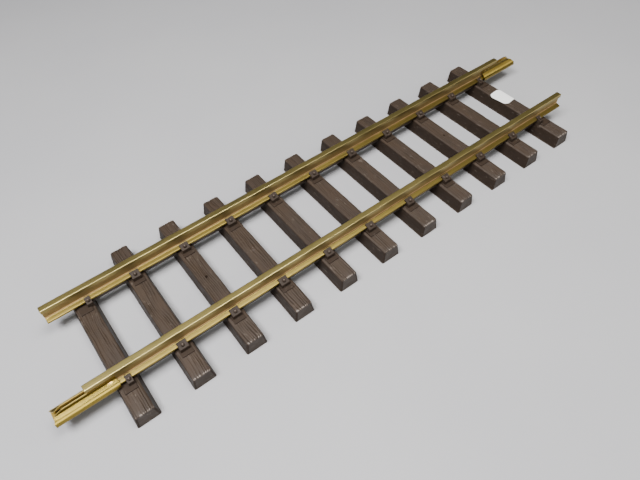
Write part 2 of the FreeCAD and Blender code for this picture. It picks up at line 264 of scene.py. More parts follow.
def rail_shell(node):
    """The rail section carried along X. Every station is the same outline, drawn in by a
    small chamfer at the two sawn ends, and the ends are closed by strips that join each
    right-hand point to its mirror image. Marks: wear_and_glint, real polish on the head's edges with a painted
    highlight along them; side, painted shade down the head's sides; web, painted shade over the web under the head;
    fillet_highlight, a painted highlight where the web meets the foot; and foot, painted shade that darkens the foot."""
    low, high = (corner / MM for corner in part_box(node))
    half = rail_outline()
    loop = np.concatenate([half, half[::-1] * [-1, 1]])
    count = len(half)
    chamfer = np.array([0.0, 0.04, 0.12])
    inner = np.linspace(low.x + 0.3, high.x - 0.3, 240)
    x = np.concatenate([low.x + chamfer, inner, high.x - chamfer[::-1]])
    draw_in = np.concatenate([0.12 - chamfer, 0 * inner, 0.12 - chamfer[::-1]])
    tangent = np.gradient(loop, axis=0)
    normal = np.column_stack([tangent[:, 1], -tangent[:, 0]])
    normal /= np.linalg.norm(normal, axis=1)[:, None] + 1e-9
    normal[[0, count, -1, count - 1]] = [[0, -1], [0, 1], [0, -1], [0, 1]]
    section = loop[None] - normal[None] * draw_in[:, None, None]
    wander = 0.02 * soft_noise(7, x, 0 * x, 18, 1)
    centre = (low.y + high.y) / 2
    points = np.stack([np.repeat(x[:, None], 2 * count, axis=1),
                       centre + section[..., 0] + wander[:, None] * (section[..., 1] > FOOT_EDGE),
                       low.z + section[..., 1]], axis=-1)
    rows = len(x)
    squares = [grid_faces(rows, 2 * count, ring=True)]
    side = np.arange(count - 1)
    cap = np.stack([side, side + 1, 2 * count - 2 - side, 2 * count - 1 - side], axis=-1)
    squares += [cap, cap + (rows - 1) * 2 * count]
    up, out = loop[:, 1], np.abs(loop[:, 0])
    # wear_and_glint: the head's edges are polished by wear and also carry a painted highlight.
    wear_and_glint = smooth_step((up - 8.0) / 0.25) * smooth_step((out - 1.25) / 0.2)
    # web: painted shade over the web under the head.
    web = smooth_step((up - 1.7) / 0.5) * smooth_step((6.4 - up) / 0.5)
    # fillet_highlight: a painted highlight, a pink-copper line where the web meets the foot.
    fillet_highlight = np.exp(-((up - 2.12) / 0.25) ** 2) * (out < 1.6)
    # foot: painted shade that darkens the foot's brass.
    foot = smooth_step((1.9 - up) / 0.15)
    # side: painted shade down the sides of the head.
    side = smooth_step((up - 6.2) / 0.15) * smooth_step((8.15 - up) / 0.15) * (out > 1.3)
    marks = {"wear_and_glint": wear_and_glint, "web": web, "fillet_highlight": fillet_highlight, "foot": foot, "side": side}
    marks = {name: np.tile(values, rows) for name, values in marks.items()}
    return weld(points.reshape(-1, 3), np.concatenate(squares), marks)


# ---- sleepers ---------------------------------------------------------------


def grain(seed, x, y):
    """Depth of the moulded wood grain at (x, y). The valleys follow the level lines of a
    field that rises steadily across the sleeper and swells at a few arches, so they bend
    round those; each fades in and out along its length. Fine fibres lie between them.
    Returns the depth in millimetres and how far into a valley the place is, 0 to 1."""
    rng = np.random.default_rng(seed)
    field = x / GRAIN_PITCH + 0.75 * soft_noise(seed + 1, x, y, 5.0, 17.0)
    field = field + 0.2 * soft_noise(seed + 5, x, y, 2.5, 8.0)
    for place, side, lift in zip(rng.uniform(-42, 42, 3), rng.uniform(-3.5, 3.5, 3), rng.uniform(-0.9, 0.9, 3)):
        field = field + lift * np.exp(-((x - side) / 1.7) ** 2 - ((y - place) / 8.0) ** 2)
    line = np.floor(field)
    off = (field - line - 0.5) * GRAIN_PITCH
    fade = np.clip(0.55 + 0.75 * soft_noise(seed + 2, line * 3.7, y, 1.0, 10.0), 0.0, 1.0)
    wide = GRAIN_WIDTH * (1.0 + 0.4 * soft_noise(seed + 4, line * 1.9, y, 1.0, 14.0))
    valley = fade * np.exp(-(off / wide) ** 2)
    fibre = 0.5 + 0.5 * soft_noise(seed + 3, x, y, 0.34, 7.0)
    swell = 0.5 + 0.5 * soft_noise(seed + 6, x, y, 3.5, 11.0)
    return GRAIN_DEEP * valley + FIBRE_DEEP * (fibre + 0.8 * swell), valley * 0.8 + fibre * 0.2


def cell_borders(low_y, high_y):
    """(near, far) limits along the sleeper of the hollow cells in its underside."""
    cells = []
    for way, far in ((-1, -low_y), (1, high_y)):
        room = (far - END_WALL - MIDDLE_RIB / 2 - (CELLS_PER_SIDE - 1) * RIB_THICK) / CELLS_PER_SIDE
        starts = MIDDLE_RIB / 2 + np.arange(CELLS_PER_SIDE) * (room + RIB_THICK)
        cells += [tuple(sorted((way * start, way * (start + room)))) for start in starts]
    return sorted(cells)


def sleeper_rows(low_y, high_y):
    """Stations along the sleeper and the hollow's depth at each. The limits of a cell
    are there twice, once solid and once hollow, which makes the cell's end walls."""
    plain = np.arange(low_y + 1.6, high_y - 1.5, 0.34)
    tip = np.array([0.0, 0.04, 0.12, 0.25, 0.42, 0.65, 0.9, 1.2])
    close = np.arange(-1.2, 1.21, 0.12)
    solid = np.unique(np.round(np.concatenate([plain, low_y + tip, high_y - tip, close]), 3))
    cells = cell_borders(low_y, high_y)
    limits = np.array(cells).ravel()
    solid = solid[np.abs(solid[:, None] - limits[None]).min(axis=1) > 0.05]
    hollow = np.zeros(len(solid))
    for near, far in cells:
        hollow[(solid > near) & (solid < far)] = 1.0
    doubled = np.concatenate([[near, near, far, far] for near, far in cells])
    doubled_hollow = np.tile([0.0, 1.0, 1.0, 0.0], len(cells))
    order = np.tile([0, 1, 0, 1], len(cells))
    rows = np.concatenate([solid, doubled])
    depth = np.concatenate([hollow, doubled_hollow])
    rank = np.concatenate([0 * solid, order])
    sort = np.lexsort((rank, rows))
    return rows[sort], depth[sort] * CELL_DEPTH


def sleeper_loop(half_width):
    """Outline of the sleeper from its left foot, up the side, over the top, down the
    other side and back along the underside, with both feet of the hollow; as arrays of
    across, up, and the share of the cell's depth at each point."""
    top = half_width - SIDE_INSET
    side = rounded_line([(half_width, 0), (top, SLEEPER_HEIGHT), (0, SLEEPER_HEIGHT)], [TOP_ROUND], steps=8)
    right = np.concatenate([divided(side[:2], 0.45)[:-1], side[1:-1], divided(side[-2:], 0.1)[1:-1]])
    outer = np.concatenate([right * [-1, 1], [[0.0, SLEEPER_HEIGHT]], right[::-1]])
    cell = CELL_WIDTH / 2
    across = np.array([half_width - 1.0, cell, cell, cell / 2, 0.0, -cell / 2, -cell, -cell, 1.0 - half_width])
    share = np.array([0, 0, 1, 1, 1, 1, 1, 0, 0.0])
    x = np.concatenate([outer[:, 0], across])
    z = np.concatenate([outer[:, 1], 0 * across])
    return x, z, np.concatenate([0 * outer[:, 0], share])


def sleeper_shell(number, node):
    """The sleeper's outline carried along Y, narrowed and lowered by quarter rounds at
    its ends and closed there by rings that shrink to a point. The top is sunk by the
    grain, the sides and ends by shallow hewn hollows, and the underside is raised to the
    roof of each cell. Marks: painted_shade, how far into a valley a point is on top, painted as shade, with painted
    shade also over the sides and the end faces; tip, painted highlights at the ends of the ridges between the
    valleys."""
    low, high = (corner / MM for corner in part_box(node))
    middle, half_width = (low.x + high.x) / 2, (high.x - low.x) / 2
    y, hollow = sleeper_rows(low.y, high.y)
    x0, z0, share = sleeper_loop(half_width)
    edge = np.minimum(y - low.y, high.y - y)

    def drawn_in(radius):
        inside = np.clip(radius - edge[:, None], 0.0, radius)
        return radius - np.sqrt(radius ** 2 - inside ** 2)

    seed = 100 * number
    plan_round = FOOT_PLAN_ROUND + (TOP_PLAN_ROUND - FOOT_PLAN_ROUND) * (z0[None] / SLEEPER_HEIGHT) ** 2
    x = x0[None] * (1 - drawn_in(plan_round) / half_width)
    z = z0[None] * (1 - drawn_in(END_ROUND) / SLEEPER_HEIGHT)
    z = z + share[None] * hollow[:, None]
    along = np.repeat(y[:, None], len(x0), axis=1)
    on_top = smooth_step((z0 - SLEEPER_HEIGHT + TOP_ROUND) / TOP_ROUND)[None]
    on_side = smooth_step(z0 / 0.8)[None] * (1 - on_top)
    depth, valley = grain(seed, x0[None] + 0 * along, along)
    near_tip = np.exp(-(edge / 1.3) ** 2)[:, None]
    depth = depth * (1 + 1.6 * near_tip)
    # tip: painted highlights at the ends of the ridges along the sleeper's ends.
    tip = np.exp(-((edge - 0.25) / 0.3) ** 2)[:, None] * on_top * smooth_step((0.45 - valley) / 0.3)
    tip = tip * smooth_step(0.5 + 1.2 * soft_noise(seed + 8, x, along, 0.7, 50.0))
    reach = np.hypot(x, along)
    mark = 0 * reach
    if number in GATE_MARKED:
        calm = smooth_step((reach - 0.9) / 0.5)
        depth, valley = depth * calm, valley * calm
        mark = 0.14 * np.exp(-((reach - 0.85) / 0.16) ** 2)
    z = z - on_top * (depth - mark)
    hewn = 0.5 + 0.35 * soft_noise(seed + 20, along, z0[None] + 10 * np.sign(x0), 6.5, 5.0)
    hewn = hewn + 0.15 * soft_noise(seed + 21, along, z0[None] + 10 * np.sign(x0), 2.2, 1.6)
    fine = 0.05 * soft_noise(seed + 22, along, z0[None] + 10 * np.sign(x0), 5.0, 0.5)
    x = x - np.sign(x0)[None] * smooth_step(z0 / 0.8)[None] * (HEWN_DEEP * hewn + fine * on_side)
    if number in NAILED:
        pit = smooth_step((NAIL_HOLE / 2 + 0.07 - reach) / 0.14)
        z = z - on_top * pit * 3.9
        z = z + (z0[None] == 0) * pit * 3.8
    slant = 1 - END_INSET / SLEEPER_HEIGHT * z / np.where(along < 0, -low.y, high.y)
    points = np.stack([x, along * slant, z], axis=-1)
    rows, columns = x.shape
    squares = [grid_faces(rows, columns, ring=True)]
    every = [points.reshape(-1, 3)]
    # Painted shade: darker in the grain valleys on top and over the sides.
    marks = [np.clip(0.75 * valley * on_top + 0.9 * on_side, 0, 1).ravel()]
    tips = [tip.ravel()]
    count = rows * columns
    shrink = np.array([1.0, 0.93, 0.8, 0.6, 0.38, 0.18, 0.0])
    for way, row in ((-1, 0), (1, rows - 1)):
        rim = points[row]
        centre = np.array([0.0, rim[:, 1].mean(), SLEEPER_HEIGHT * 0.45])
        rings = centre + (rim - centre)[None] * shrink[:, None, None]
        dent = 0.07 * soft_noise(seed + 30 + way, rings[..., 0], rings[..., 2], 2.2, 1.5)
        inside = (shrink < 1)[:, None] * 1.0
        rings[..., 1] -= way * inside * (0.07 + dent)
        every.append(rings.reshape(-1, 3))
        squares.append(grid_faces(len(shrink), columns, ring=True) + count)
        # Painted shade on the end faces.
        marks.append(np.full(len(shrink) * columns, 0.3))
        tips.append(np.zeros(len(shrink) * columns))
        count += len(shrink) * columns
    points = np.concatenate(every) + [middle, 0, low.z]
    return weld(points, np.concatenate(squares), {"painted_shade": np.concatenate(marks), "tip": np.concatenate(tips)})


def block(outline, start, end, order):
    """An outline carried straight from start to end, with flat ends. The order says which
    axis each of (first, second, along) lies on."""
    outline = np.array(outline, float)
    count = len(outline)
    rings = [np.column_stack([outline, np.full(count, level)]) for level in (start, end)]
    points = np.concatenate(rings)[:, np.argsort(order)]
    k = np.arange(count)
    after = (k + 1) % count
    sides = np.column_stack([k, after, after + count, k + count]).tolist()
    # The chair pieces get painted shade and no painted highlight.
    return points, sides + [k[::-1].tolist(), (k + count).tolist()], {"painted_shade": np.full(2 * count, CHAIR_SHADE), "tip": np.zeros(2 * count)}


def dome(centre, radius, base, top):
    """A round stud: a short cylinder whose last third curves in as a quarter circle."""
    turn = np.linspace(0, math.pi / 2, 5)
    height = top - base
    profile = np.array([[radius, base]] + [[radius * math.cos(a), base + height * (0.6 + 0.4 * math.sin(a))]
                                           for a in turn])
    around = np.linspace(0, 2 * math.pi, 16, endpoint=False)
    points = np.stack([centre[0] + profile[:, :1] * np.cos(around), centre[1] + profile[:, :1] * np.sin(around),
                       np.repeat(profile[:, 1:], 16, axis=1)], axis=-1).reshape(-1, 3)
    base_ring = np.array([centre[0], centre[1], base]) + 0 * points[:16]
    every = np.concatenate([base_ring, points])
    squares = grid_faces(len(profile) + 1, 16, ring=True)
    # Painted highlight on the top of the stud; the stud also gets the chairs' painted shade.
    tip = 0.4 * (every[:, 2] > base + 0.7 * height)
    return weld(every, squares, {"painted_shade": np.full(len(every), CHAIR_SHADE), "tip": tip})


def chair_shells(middle, shift, clip_width, rail_centre, top):
    """One rail's chair: a plate on the sleeper, the seat block under the rail's foot, and
    on each side a claw that rises beside the foot, slopes in over it and carries a nut
    and the domed end of its stud."""
    shells = []
    plate = [(rail_centre + way * PLATE_REACH, top + level)
             for way, level in ((-1, -CHAIR_ROOT), (1, -CHAIR_ROOT), (1, PLATE_THICK), (-1, PLATE_THICK))]
    shells.append(block(plate, middle - PLATE_WIDTH / 2, middle + PLATE_WIDTH / 2, (1, 2, 0)))
    middle = middle + shift
    low, high = middle - clip_width / 2, middle + clip_width / 2
    seat = top + SEAT_RISE
    foot, web = FOOT_WIDTH / 2 + 0.05, WEB_THICK / 2
    base = [(rail_centre - CLIP_REACH, top - CHAIR_ROOT), (rail_centre + CLIP_REACH, top - CHAIR_ROOT),
            (rail_centre + CLIP_REACH, seat), (rail_centre - CLIP_REACH, seat)]
    shells.append(block(base, low, high, (1, 2, 0)))
    lean = (FOOT_WIDTH / 2 - CLIP_INNER) / (FOOT_WIDTH / 2 - web)
    shoulder = seat + FOOT_EDGE + 0.05 + FOOT_RISE * lean
    for way in (-1, 1):
        claw = [(foot, seat - 0.1), (CLIP_REACH, seat - 0.1), (CLIP_REACH, seat + CLIP_LOW),
                (CLIP_INNER, seat + CLIP_HIGH), (CLIP_INNER, shoulder), (foot, seat + FOOT_EDGE + 0.05)]
        claw = [(rail_centre + way * across, up) for across, up in claw]
        shells.append(block(claw, low, high, (1, 2, 0)))
        centre = (middle, rail_centre + way * NUT_OFFSET)
        nut_seat = seat + (CLIP_LOW + CLIP_HIGH) / 2
        turn = np.arange(6) * math.pi / 3
        nut = np.column_stack([centre[0] + NUT_RADIUS * np.cos(turn), centre[1] + NUT_RADIUS * np.sin(turn)])
        shells.append(block(nut, nut_seat - 0.5, nut_seat + NUT_HEIGHT, (0, 1, 2)))
        shells.append(dome(centre, STUD_RADIUS, nut_seat, nut_seat + NUT_HEIGHT + STUD_HEIGHT))
    return shells


# ---- joiners ----------------------------------------------------------------


def joiner_line():
    """Right-hand half of the middle line of the sleeve's sheet, from the middle of its
    floor out, up round the foot's edge, in over the flank and up the lip."""
    half = SHEET_THICK / 2
    wide, lip = SLEEVE_HALF - half, LIP_HALF - half
    bend = LIP_BEND - LIP_SINK - half / 2
    corners = [(0, -half), (wide, -half), (wide, bend - FLANK_DROP), (lip, bend), (lip, LIP_TOP)]
    return divided(rounded_line(corners, [0.3, FLANK_ROUND, 0.45], steps=15), 0.15)


def joiner_shell(node, end, flared, dimpled):
    """The sheet's middle line carried along X and given its thickness both ways along its
    normal. At the open end the lips are cut down on a straight slope that curves out at
    the tip, so there the line is shorter. Marks: wear_and_glint, real wear on the rims with a painted highlight;
    bulge_highlight, a painted highlight band on the bulge; dimple; inside, painted light on the inner faces of the
    lips; and slot_shade, painted shade in the slot."""
    low, high = (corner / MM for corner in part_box(node))
    length = high.x - low.x
    half = joiner_line()
    gaps = np.linalg.norm(np.diff(half, axis=0), axis=1)
    along = np.concatenate([[0.0], np.cumsum(gaps)])
    tip = np.array([0.0, 0.05, 0.15, 0.3, 0.5, 0.75])
    x = np.concatenate([tip, np.arange(1.0, length - 1.0, 0.17), length - tip[::-1]])
    t = np.clip((x - (length - LEAD_LENGTH)) / LEAD_LENGTH, 0, 1)
    top = LIP_TOP - LEAD_DROP * (0.72 * t + 0.28 * t ** 4)
    reach = np.interp(top, half[:, 1], along)
    u = np.linspace(-1, 1, 141)
    place = u[None] * reach[:, None]
    across = np.sign(place) * np.interp(np.abs(place), along, half[:, 0])
    up = np.interp(np.abs(place), along, half[:, 1])
    d_across, d_up = np.gradient(across, axis=1), np.gradient(up, axis=1)
    size = np.hypot(d_across, d_up) + 1e-9
    n_across, n_up = d_up / size, -d_across / size
    if flared:
        flare = 0.3 * (1 - smooth_step(x / 2.2))[:, None] * smooth_step((up - 1.0) / 3.0)
        across = across + np.sign(place) * flare
    dent = 0 * up
    if dimpled:
        dent = np.exp(-(((x[:, None] - 3.0) / 1.0) ** 2 + ((up - 3.15) / 0.24) ** 2)) * (place < 0)
    across = across - n_across * 0.12 * dent
    up = up - n_up * 0.12 * dent
    thick = SHEET_THICK / 2
    centre = (low.y + high.y) / 2
    xs = np.repeat(x[:, None], len(u), axis=1)
    world = low.x + xs if end > 0 else high.x - xs
    sheets = [np.stack([world, centre + across + way * n_across * thick,
                        low.z + SHEET_THICK + up + way * n_up * thick], axis=-1) for way in (1, -1)]
    loop = np.concatenate([sheets[0], sheets[1][:, ::-1]], axis=1)
    rows, columns = loop.shape[:2]
    k = np.arange(len(u) - 1)
    cap = np.stack([k, k + 1, columns - 2 - k, columns - 1 - k], axis=-1)
    squares = np.concatenate([grid_faces(rows, columns, ring=True), cap, cap + (rows - 1) * columns])
    # The rims: real wear with a painted highlight (wear_and_glint).
    rim = smooth_step((np.abs(u) - 0.985) / 0.015)[None] * np.ones_like(up)
    # bulge_highlight: a painted highlight band along the bulge.
    bulge_highlight = np.exp(-((up - 1.85) / 0.5) ** 2)
    wear_and_glint = np.clip(rim, 0, 1)
    open_end = smooth_step((x - length + 2.6) / 1.6)[:, None]
    # Painted light on the inner faces of the lips, and partly on the inside near the open end.
    inner = np.maximum(smooth_step((up - LIP_BEND + 0.55) / 0.3), 0.45 * open_end)[:, ::-1]
    inside = np.concatenate([0 * wear_and_glint, inner], axis=1)
    # slot_shade: painted shade inside the slot.
    slot_shade = np.concatenate([0 * wear_and_glint, (1 - inner) * (1 - open_end)], axis=1)
    marks = {"wear_and_glint": np.concatenate([wear_and_glint, wear_and_glint[:, ::-1] * 0.5], axis=1).ravel(), "inside": inside.ravel(), "slot_shade": slot_shade.ravel(),
             "bulge_highlight": np.concatenate([bulge_highlight, 0 * bulge_highlight], axis=1).ravel(),
             "dimple": np.concatenate([dent ** 2, 0 * dent], axis=1).ravel()}
    return weld(loop.reshape(-1, 3), squares, marks)


# ---- label ------------------------------------------------------------------


def label_shell(node, top_half):
    """A sheet with round ends: at each station along it the half width is that of a
    rounded oblong. It lies flat on the sleeper and bends down over the two top edges as
    a quarter round; a second layer underneath and the rim close it."""
    low, high = (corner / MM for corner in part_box(node))
    middle = np.array([(low.x + high.x) / 2, (low.y + high.y) / 2])
    long, wide = LABEL_LENGTH / 2, LABEL_WIDTH / 2
    v = long * np.sin(np.linspace(-math.pi / 2, math.pi / 2, 61))
    past = np.clip(np.abs(v) - (long - LABEL_ROUND), 0, LABEL_ROUND)
    reach = wide - LABEL_ROUND + np.sqrt(LABEL_ROUND ** 2 - past ** 2)
    u = np.linspace(-1, 1, 49)
    a, b = reach[:, None] * u[None], np.repeat(v[:, None], len(u), axis=1)
    x = a * math.cos(LABEL_TURN) - b * math.sin(LABEL_TURN)
    y = a * math.sin(LABEL_TURN) + b * math.cos(LABEL_TURN)
    over = np.clip(np.abs(x) - (top_half - 0.75), 0, None)
    turn = np.clip(over / 0.95, 0, 1.25)
    x = np.sign(x) * np.minimum(np.abs(x), top_half - 0.75 + 0.95 * np.sin(turn))
    lie = 0.95 * (np.cos(turn) - 1) + 0.035 * soft_noise(91, x, y, 2.0, 3.0)
    sheets = [np.stack([middle[0] + x, middle[1] + y, low.z + 0.02 + lie + level], axis=-1)
              for level in (LABEL_THICK, 0.0)]
    loop = np.concatenate([sheets[0], sheets[1][:, ::-1]], axis=1)
    rows, columns = loop.shape[:2]
    k = np.arange(len(u) - 1)
    cap = np.stack([k, k + 1, columns - 2 - k, columns - 1 - k], axis=-1)
    squares = np.concatenate([grid_faces(rows, columns, ring=True), cap, cap + (rows - 1) * columns])
    return weld(loop.reshape(-1, 3), squares, {"painted_shade": np.zeros(rows * columns)})


# ---- finishes ---------------------------------------------------------------


def new_material(name):
    """An empty node material with its shader; gives the material, nodes, links, shader."""
    material = bpy.data.materials.new(name)
    material.use_nodes = True
    nodes, links = material.node_tree.nodes, material.node_tree.links
    nodes.clear()
    shader = nodes.new("ShaderNodeBsdfPrincipled")
    output = nodes.new("ShaderNodeOutputMaterial")
    links.new(shader.outputs["BSDF"], output.inputs["Surface"])
    return material, nodes, links, shader


def object_place(nodes, links, scale):
    """Object coordinates stretched by the scale, as a socket."""
    place = nodes.new("ShaderNodeTexCoord")
    mapping = nodes.new("ShaderNodeMapping")
    mapping.inputs["Scale"].default_value = scale
    links.new(place.outputs["Object"], mapping.inputs["Vector"])
    return mapping.outputs["Vector"]


def noise(nodes, links, place, size, detail=4.0, rough=0.55):
    """Noise of that many cells a metre at a place, as a socket."""
    texture = nodes.new("ShaderNodeTexNoise")
    texture.inputs["Scale"].default_value = size
    texture.inputs["Detail"].default_value = detail
    texture.inputs["Roughness"].default_value = rough
    links.new(place, texture.inputs["Vector"])
    return texture.outputs["Fac"]


def attribute(nodes, name):
    """A mark of the piece's own mesh, as a socket."""
    reader = nodes.new("ShaderNodeAttribute")
    reader.attribute_name = name
    return reader.outputs["Fac"]


def spread(nodes, links, value, low, high, start=0.0, end=1.0):
    """The value's range low..high mapped to start..end and held inside it."""
    ramp = nodes.new("ShaderNodeMapRange")
    ramp.inputs["From Min"].default_value = low
    ramp.inputs["From Max"].default_value = high
    ramp.inputs["To Min"].default_value = start
    ramp.inputs["To Max"].default_value = end
    links.new(value, ramp.inputs["Value"])
    return ramp.outputs["Result"]


def blend(nodes, links, share, first, second, mode="MIX"):
    """Two colours mixed by a share; a colour is a socket or red, green, blue."""
    mix = nodes.new("ShaderNodeMix")
    mix.data_type = "RGBA"
    mix.blend_type = mode
    sockets = {socket.identifier: socket for socket in mix.inputs}
    for key, value in (("Factor_Float", share), ("A_Color", first), ("B_Color", second)):
        socket = sockets[key]
        if isinstance(value, bpy.types.NodeSocket):
            links.new(value, socket)
        elif isinstance(value, tuple):
            socket.default_value = (*value, 1.0)
        else:
            socket.default_value = value
    return next(socket for socket in mix.outputs if socket.identifier == "Result_Color")


def product(nodes, links, first, second):
    """Two sockets or numbers multiplied."""
    times = nodes.new("ShaderNodeMath")
    times.operation = "MULTIPLY"
    for socket, value in zip(times.inputs, (first, second)):
        if isinstance(value, bpy.types.NodeSocket):
            links.new(value, socket)
        else:
            socket.default_value = value
    return times.outputs[0]


def add_bump(nodes, links, shader, heights):
    """Chain of bumps; each is (height socket, distance in metres, strength)."""
    normal = None
    for height, distance, strength in heights:
        bump = nodes.new("ShaderNodeBump")
        bump.inputs["Distance"].default_value = distance
        bump.inputs["Strength"].default_value = strength
        links.new(height, bump.inputs["Height"])
        if normal is not None:
            links.new(normal, bump.inputs["Normal"])
        normal = bump.outputs["Normal"]
    links.new(normal, shader.inputs["Normal"])


def brass(name, clean, tarnished):
    """Brass with drawing streaks along X, cloudy tarnish and small specks of dirt."""
    material, nodes, links, shader = new_material(name)
    streaks = noise(nodes, links, object_place(nodes, links, (0.02, 1.0, 1.0)), 3200.0, 3.0, 0.6)
    clouds = noise(nodes, links, object_place(nodes, links, (0.35, 1.0, 1.0)), 190.0, 5.0, 0.6)
    specks = noise(nodes, links, object_place(nodes, links, (1.0, 1.0, 1.0)), 1500.0, 2.0, 0.5)
    wear_and_glint = attribute(nodes, "wear_and_glint")
    colour = blend(nodes, links, spread(nodes, links, clouds, 0.38, 0.66), clean, tarnished)
    colour = blend(nodes, links, spread(nodes, links, streaks, 0.35, 0.7, 0.0, 0.35), colour, tarnished)
    speck = spread(nodes, links, specks, 0.66, 0.72)
    return material, nodes, links, shader, colour, wear_and_glint, streaks, clouds, speck


def rail_brass():
    """Drawn rail brass, dull on top, with its edges polished by wear. Painted shade makes the web browner and darker
    and darkens the head's sides and the foot; a painted pink-copper highlight runs where the web meets the foot, and
    a painted highlight lies along the head's edges."""
    material, nodes, links, shader, colour, wear_and_glint, streaks, clouds, speck = brass(
        "rail_brass", (0.51, 0.42, 0.15), (0.39, 0.31, 0.11))
    # Painted shade: the foot is given a darker brass.
    colour = blend(nodes, links, product(nodes, links, attribute(nodes, "foot"), 0.85), colour, (0.172, 0.126, 0.028))
    # Painted shade down the head's sides.
    colour = blend(nodes, links, product(nodes, links, attribute(nodes, "side"), 0.7), colour, (0.22, 0.165, 0.065))
    # Painted shade in the web, browner and darker.
    colour = blend(nodes, links, product(nodes, links, attribute(nodes, "web"), 0.75), colour, (0.37, 0.26, 0.12))
    # Painted highlight: a bright pink-copper line where the web meets the foot.
    colour = blend(nodes, links, product(nodes, links, attribute(nodes, "fillet_highlight"), 0.95), colour, (1.0, 0.68, 0.38))
    # Edges polished by wear, with a painted highlight along them.
    colour = blend(nodes, links, product(nodes, links, wear_and_glint, 0.8), colour, (0.64, 0.53, 0.22))
    colour = blend(nodes, links, product(nodes, links, speck, 0.6), colour, (0.16, 0.11, 0.06))
    links.new(colour, shader.inputs["Base Color"])
    rough = spread(nodes, links, clouds, 0.35, 0.7, 0.36, 0.46)
    dull = nodes.new("ShaderNodeMath")
    dull.operation = "ADD"
    links.new(rough, dull.inputs[0])
    links.new(product(nodes, links, attribute(nodes, "web"), 0.25), dull.inputs[1])
    shine = nodes.new("ShaderNodeMath")
    shine.operation = "SUBTRACT"
    links.new(dull.outputs[0], shine.inputs[0])
    links.new(product(nodes, links, wear_and_glint, 0.1), shine.inputs[1])
    links.new(shine.outputs[0], shader.inputs["Roughness"])
    shader.inputs["Metallic"].default_value = 1.0
    add_bump(nodes, links, shader, [(streaks, 0.00003, 0.5), (clouds, 0.00015, 0.25)])
    return material


def joiner_brass():
    """Rolled sheet brass: a dark base colour stands as painted shade over the flank, and a bright painted highlight
    band runs along the bulge; painted orange light lies inside the lips and painted shade in the slot, and the rims
    are rubbed by wear and carry a painted highlight."""
    # The dark base colours are painted shade for the flank.
    material, nodes, links, shader, colour, wear_and_glint, streaks, clouds, speck = brass(
        "joiner_brass", (0.26, 0.19, 0.04), (0.20, 0.145, 0.03))
    # Painted highlight band along the bulge.
    colour = blend(nodes, links, product(nodes, links, attribute(nodes, "bulge_highlight"), 0.9), colour, (0.66, 0.49, 0.10))
    # Painted light, orange, on the inner faces of the lips.
    colour = blend(nodes, links, product(nodes, links, attribute(nodes, "inside"), 0.95), colour, (0.80, 0.57, 0.15))
    # Painted shade in the slot.
    colour = blend(nodes, links, product(nodes, links, attribute(nodes, "slot_shade"), 0.9), colour, (0.05, 0.03, 0.012))
    # Rims rubbed by wear, with a painted highlight.
    colour = blend(nodes, links, product(nodes, links, wear_and_glint, 0.7), colour, (0.66, 0.52, 0.18))
    colour = blend(nodes, links, attribute(nodes, "dimple"), colour, (0.62, 0.36, 0.20))
    colour = blend(nodes, links, product(nodes, links, speck, 0.4), colour, (0.25, 0.16, 0.07))
    links.new(colour, shader.inputs["Base Color"])
    dull = nodes.new("ShaderNodeMath")
    dull.operation = "ADD"
    links.new(spread(nodes, links, clouds, 0.35, 0.7, 0.25, 0.31), dull.inputs[0])
    links.new(product(nodes, links, attribute(nodes, "inside"), 0.3), dull.inputs[1])
    links.new(dull.outputs[0], shader.inputs["Roughness"])
    shader.inputs["Metallic"].default_value = 1.0
    add_bump(nodes, links, shader, [(streaks, 0.00002, 0.25), (clouds, 0.0001, 0.2)])
    return material


def sleeper_plastic():
    """Dark brown moulded plastic with fine fibres along Y, a mottled sheen and a few pale scuffs. Painted shade
    darkens the grain valleys, the sides, the end faces and the chairs, so the ridges are paler; painted highlights
    lie on the ends of the ridges and on the studs."""
    material, nodes, links, shader = new_material("sleeper_plastic")
    fibres = noise(nodes, links, object_place(nodes, links, (1.0, 0.06, 1.0)), 3600.0, 4.0, 0.65)
    mottle = noise(nodes, links, object_place(nodes, links, (1.0, 0.5, 1.0)), 210.0, 4.0, 0.6)
    grit = noise(nodes, links, object_place(nodes, links, (1.0, 1.0, 1.0)), 4200.0, 2.0, 0.6)
    scuffs = noise(nodes, links, object_place(nodes, links, (1.0, 0.35, 1.0)), 700.0, 3.0, 0.6)
    painted_shade = attribute(nodes, "painted_shade")
    colour = blend(nodes, links, spread(nodes, links, mottle, 0.3, 0.7), (0.044, 0.028, 0.018), (0.028, 0.019, 0.013))
    colour = blend(nodes, links, spread(nodes, links, fibres, 0.3, 0.75, 0.0, 0.6), colour, (0.058, 0.040, 0.027))
    # Painted shade: valleys, sides, end faces and chairs painted darker.
    colour = blend(nodes, links, product(nodes, links, painted_shade, 0.65), colour, (0.013, 0.009, 0.007))
    # Painted highlights at the ridge ends and on the studs.
    colour = blend(nodes, links, attribute(nodes, "tip"), colour, (0.24, 0.20, 0.17))
    colour = blend(nodes, links, spread(nodes, links, scuffs, 0.62, 0.74, 0.0, 0.4), colour, (0.17, 0.14, 0.115))
    links.new(colour, shader.inputs["Base Color"])
    links.new(spread(nodes, links, mottle, 0.3, 0.7, 0.46, 0.6), shader.inputs["Roughness"])
    # Less sheen where the painted shade lies.
    links.new(spread(nodes, links, painted_shade, 0.1, 0.9, 0.36, 0.1), shader.inputs["Specular IOR Level"])
    add_bump(nodes, links, shader, [(fibres, 0.00006, 0.6), (grit, 0.00003, 0.5)])
    return material


